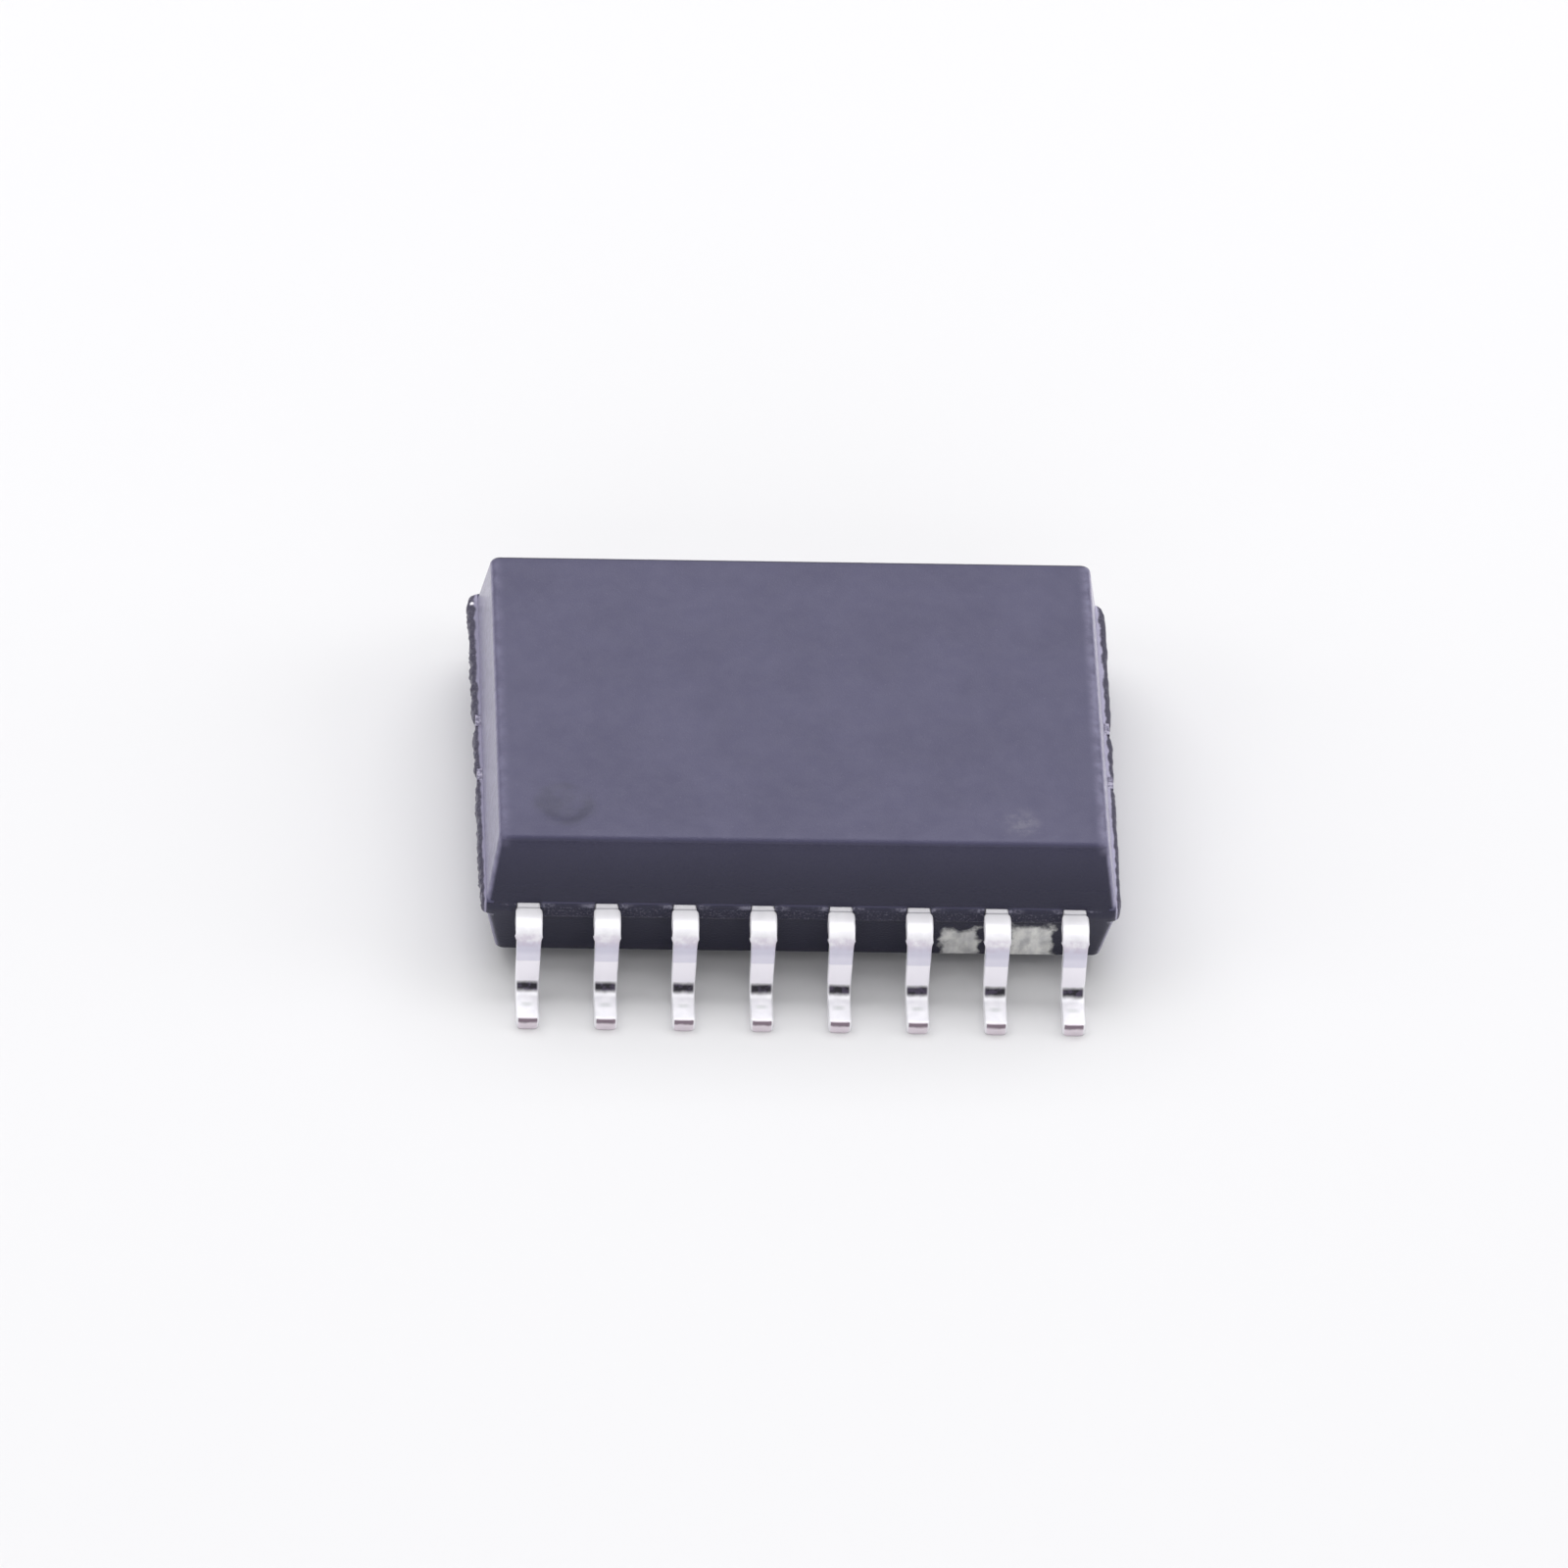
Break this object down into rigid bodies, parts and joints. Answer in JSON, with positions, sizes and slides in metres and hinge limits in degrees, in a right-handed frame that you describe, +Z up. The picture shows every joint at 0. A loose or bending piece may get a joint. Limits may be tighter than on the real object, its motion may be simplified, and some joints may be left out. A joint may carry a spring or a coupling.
{
  "type": "small-outline integrated circuit",
  "caption": "Flat rectangular dark moulded integrated circuit with a row of gull-wing leads along each long side and a round lead-one mark in a corner of its top face.",
  "frame": {"origin": "on the seating plane at the undersides of the feet, below the middle of the body", "axes": "+X along the lead rows, with lead 1 at -X -Y; +Z up, away from the circuit board"},
  "size_m": [0.0106, 0.0104, 0.0026],
  "materials": {
    "moulding_compound": "fine satin moulding compound, dark grey",
    "lead_plating": "matt tin plate over copper alloy, bare copper on the cut toes",
    "copper": "bare copper alloy",
    "die_attach": "silver-filled epoxy",
    "silicon": "polished silicon",
    "bond_wire": "drawn gold wire"
  },
  "bodies": {
    "root": {"body": "moulding_compound", "die_paddle": "copper", "die_attach": "die_attach", "die": "silicon", "lead_01": "lead_plating", "lead_02": "lead_plating", "lead_03": "lead_plating", "lead_04": "lead_plating", "lead_05": "lead_plating", "lead_06": "lead_plating", "lead_07": "lead_plating", "lead_08": "lead_plating", "lead_09": "lead_plating", "lead_10": "lead_plating", "lead_11": "lead_plating", "lead_12": "lead_plating", "lead_13": "lead_plating", "lead_14": "lead_plating", "lead_15": "lead_plating", "lead_16": "lead_plating", "bond_wire_01": "bond_wire", "bond_wire_02": "bond_wire", "bond_wire_03": "bond_wire", "bond_wire_04": "bond_wire", "bond_wire_05": "bond_wire", "bond_wire_06": "bond_wire", "bond_wire_07": "bond_wire", "bond_wire_08": "bond_wire", "bond_wire_09": "bond_wire", "bond_wire_10": "bond_wire", "bond_wire_11": "bond_wire", "bond_wire_12": "bond_wire", "bond_wire_13": "bond_wire", "bond_wire_14": "bond_wire", "bond_wire_15": "bond_wire", "bond_wire_16": "bond_wire"}
  },
  "joints": []
}
